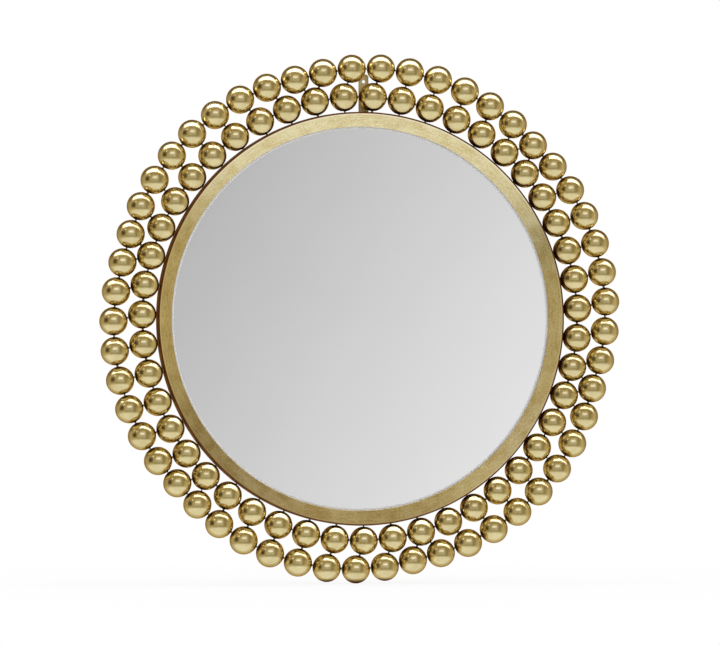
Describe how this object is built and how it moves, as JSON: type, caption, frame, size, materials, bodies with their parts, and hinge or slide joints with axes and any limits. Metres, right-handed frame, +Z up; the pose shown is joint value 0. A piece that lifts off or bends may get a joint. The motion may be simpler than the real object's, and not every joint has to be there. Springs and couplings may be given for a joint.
{
  "type": "wall mirror",
  "caption": "Round wall mirror with a bevelled glass in a dished brass frame, ringed by two rows of welded hollow brass balls; hangs from a holed tab.",
  "frame": {"origin": "middle of the mirror, in the plane through the centres of the balls", "axes": "+Z up as the mirror hangs, +Y into the wall, the glass faces -Y, +X to the right as seen from the front"},
  "size_m": [0.711, 0.04, 0.7099],
  "materials": {
    "ball_brass": "polished and lacquered",
    "band_brass": "brushed round the ring, lightly aged",
    "hoop_brass": "dark bronzed",
    "rebate_brass": "mill finish, dulled",
    "weld_brass": "brazed, unpolished",
    "tab_brass": "satin",
    "silvered_glass": "silvered float glass, bevelled edge",
    "gasket_rubber": "matt",
    "pad_rubber": "matt",
    "felt": "pressed felt",
    "backing_board": "fibreboard, raw",
    "button_steel": "zinc plated",
    "rivet_steel": "zinc plated"
  },
  "bodies": {
    "frame": {"backing_board": "backing_board", "backing_felt": "felt", "button_rivets": "rivet_steel", "button_washers": "rivet_steel", "cross_welds": "weld_brass", "face_band": "band_brass", "glass_gasket": "gasket_rubber", "hanging_tab": "tab_brass", "hoop_welds": "weld_brass", "inner_balls_1": "ball_brass", "inner_balls_2": "ball_brass", "inner_balls_3": "ball_brass", "inner_balls_4": "ball_brass", "inner_balls_5": "ball_brass", "inner_balls_6": "ball_brass", "inner_ring_welds": "weld_brass", "mirror_glass": "silvered_glass", "outer_balls_1": "ball_brass", "outer_balls_2": "ball_brass", "outer_balls_3": "ball_brass", "outer_balls_4": "ball_brass", "outer_balls_5": "ball_brass", "outer_balls_6": "ball_brass", "outer_ring_welds": "weld_brass", "rebate_ring": "rebate_brass", "setting_blocks": "gasket_rubber", "side_hoop": "hoop_brass", "tab_welds": "weld_brass", "wall_pads": "pad_rubber"},
    "turn_button_1": {"turn_button_1": "button_steel"},
    "turn_button_2": {"turn_button_2": "button_steel"},
    "turn_button_3": {"turn_button_3": "button_steel"},
    "turn_button_4": {"turn_button_4": "button_steel"},
    "turn_button_5": {"turn_button_5": "button_steel"},
    "turn_button_6": {"turn_button_6": "button_steel"}
  },
  "joints": [
    {"name": "turn_button_1_pivot", "type": "hinge", "parent": "frame", "child": "turn_button_1", "pos_m": [0.13514, 0.01041, 0.23408], "axis": [0, 1, 0], "range_deg": [-90, 90]},
    {"name": "turn_button_2_pivot", "type": "hinge", "parent": "frame", "child": "turn_button_2", "pos_m": [0.27029, 0.01041, 0], "axis": [0, 1, 0], "range_deg": [-90, 90]},
    {"name": "turn_button_3_pivot", "type": "hinge", "parent": "frame", "child": "turn_button_3", "pos_m": [0.13514, 0.01041, -0.23408], "axis": [0, 1, 0], "range_deg": [-90, 90]},
    {"name": "turn_button_4_pivot", "type": "hinge", "parent": "frame", "child": "turn_button_4", "pos_m": [-0.13514, 0.01041, -0.23408], "axis": [0, 1, 0], "range_deg": [-90, 90]},
    {"name": "turn_button_5_pivot", "type": "hinge", "parent": "frame", "child": "turn_button_5", "pos_m": [-0.27029, 0.01041, 0], "axis": [0, 1, 0], "range_deg": [-90, 90]},
    {"name": "turn_button_6_pivot", "type": "hinge", "parent": "frame", "child": "turn_button_6", "pos_m": [-0.13514, 0.01041, 0.23408], "axis": [0, 1, 0], "range_deg": [-90, 90]}
  ]
}
